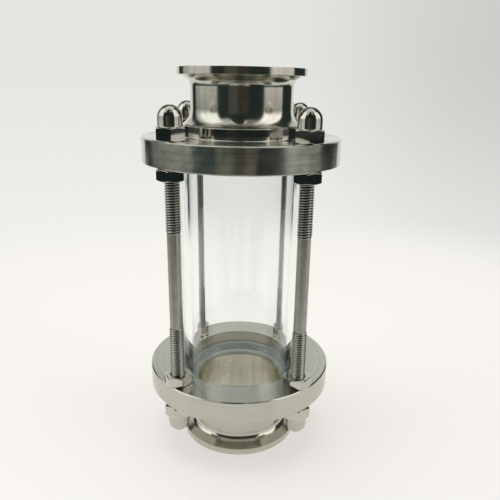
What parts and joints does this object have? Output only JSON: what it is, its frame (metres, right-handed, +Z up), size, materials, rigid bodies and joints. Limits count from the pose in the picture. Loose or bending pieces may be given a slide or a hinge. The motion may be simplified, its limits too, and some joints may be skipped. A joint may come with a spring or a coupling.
{
  "type": "sight glass",
  "caption": "Straight sanitary sight glass: clear tube sealed between round flanges, held by studs with domed nuts, and a clamp ferrule at each end.",
  "frame": {"origin": "centre of the lower ferrule's sealing face, on which the part stands", "axes": "+Z up the flow axis, X and Y in the sealing face with the studs on the diagonals"},
  "size_m": [0.1, 0.1, 0.2],
  "materials": {
    "ferrule_steel": "polished",
    "flange_steel": "fine turned, bright",
    "stud_steel": "bright rolled thread",
    "nut_steel": "mirror polished",
    "glass": "clear borosilicate, polished",
    "gasket": "matt"
  },
  "bodies": {
    "lower_assembly": {"glass_tube": "glass", "lower_gasket": "gasket", "lower_flange": "flange_steel", "lower_ferrule": "ferrule_steel", "stud_1": "stud_steel", "lower_cap_nut_1": "nut_steel", "upper_hex_nut_1": "nut_steel", "lower_hex_nut_1": "nut_steel", "stud_2": "stud_steel", "lower_cap_nut_2": "nut_steel", "upper_hex_nut_2": "nut_steel", "lower_hex_nut_2": "nut_steel", "stud_3": "stud_steel", "lower_cap_nut_3": "nut_steel", "upper_hex_nut_3": "nut_steel", "lower_hex_nut_3": "nut_steel", "stud_4": "stud_steel", "lower_cap_nut_4": "nut_steel", "upper_hex_nut_4": "nut_steel", "lower_hex_nut_4": "nut_steel"},
    "top_end": {"upper_ferrule": "ferrule_steel", "upper_flange": "flange_steel", "upper_gasket": "gasket"},
    "cap_nut_1": {"upper_cap_nut_1": "nut_steel"},
    "cap_nut_2": {"upper_cap_nut_2": "nut_steel"},
    "cap_nut_3": {"upper_cap_nut_3": "nut_steel"},
    "cap_nut_4": {"upper_cap_nut_4": "nut_steel"}
  },
  "joints": [
    {"name": "top_end_lift", "type": "slide", "parent": "lower_assembly", "child": "top_end", "axis": [0, 0, 1], "range_m": [0, 0.0087]},
    {"name": "cap_nut_1_turn", "type": "hinge", "parent": "top_end", "child": "cap_nut_1", "pos_m": [-0.03111, -0.03111, 0.168], "axis": [0, 0, 1], "range_deg": [0, 2520]},
    {"name": "cap_nut_2_turn", "type": "hinge", "parent": "top_end", "child": "cap_nut_2", "pos_m": [0.03111, -0.03111, 0.168], "axis": [0, 0, 1], "range_deg": [0, 2520]},
    {"name": "cap_nut_3_turn", "type": "hinge", "parent": "top_end", "child": "cap_nut_3", "pos_m": [0.03111, 0.03111, 0.168], "axis": [0, 0, 1], "range_deg": [0, 2520]},
    {"name": "cap_nut_4_turn", "type": "hinge", "parent": "top_end", "child": "cap_nut_4", "pos_m": [-0.03111, 0.03111, 0.168], "axis": [0, 0, 1], "range_deg": [0, 2520]}
  ],
  "couplings": [
    {"joint": "cap_nut_1_turn", "follows": "top_end_lift", "rad_per_m": 5026.5},
    {"joint": "cap_nut_2_turn", "follows": "top_end_lift", "rad_per_m": 5026.5},
    {"joint": "cap_nut_3_turn", "follows": "top_end_lift", "rad_per_m": 5026.5},
    {"joint": "cap_nut_4_turn", "follows": "top_end_lift", "rad_per_m": 5026.5}
  ]
}
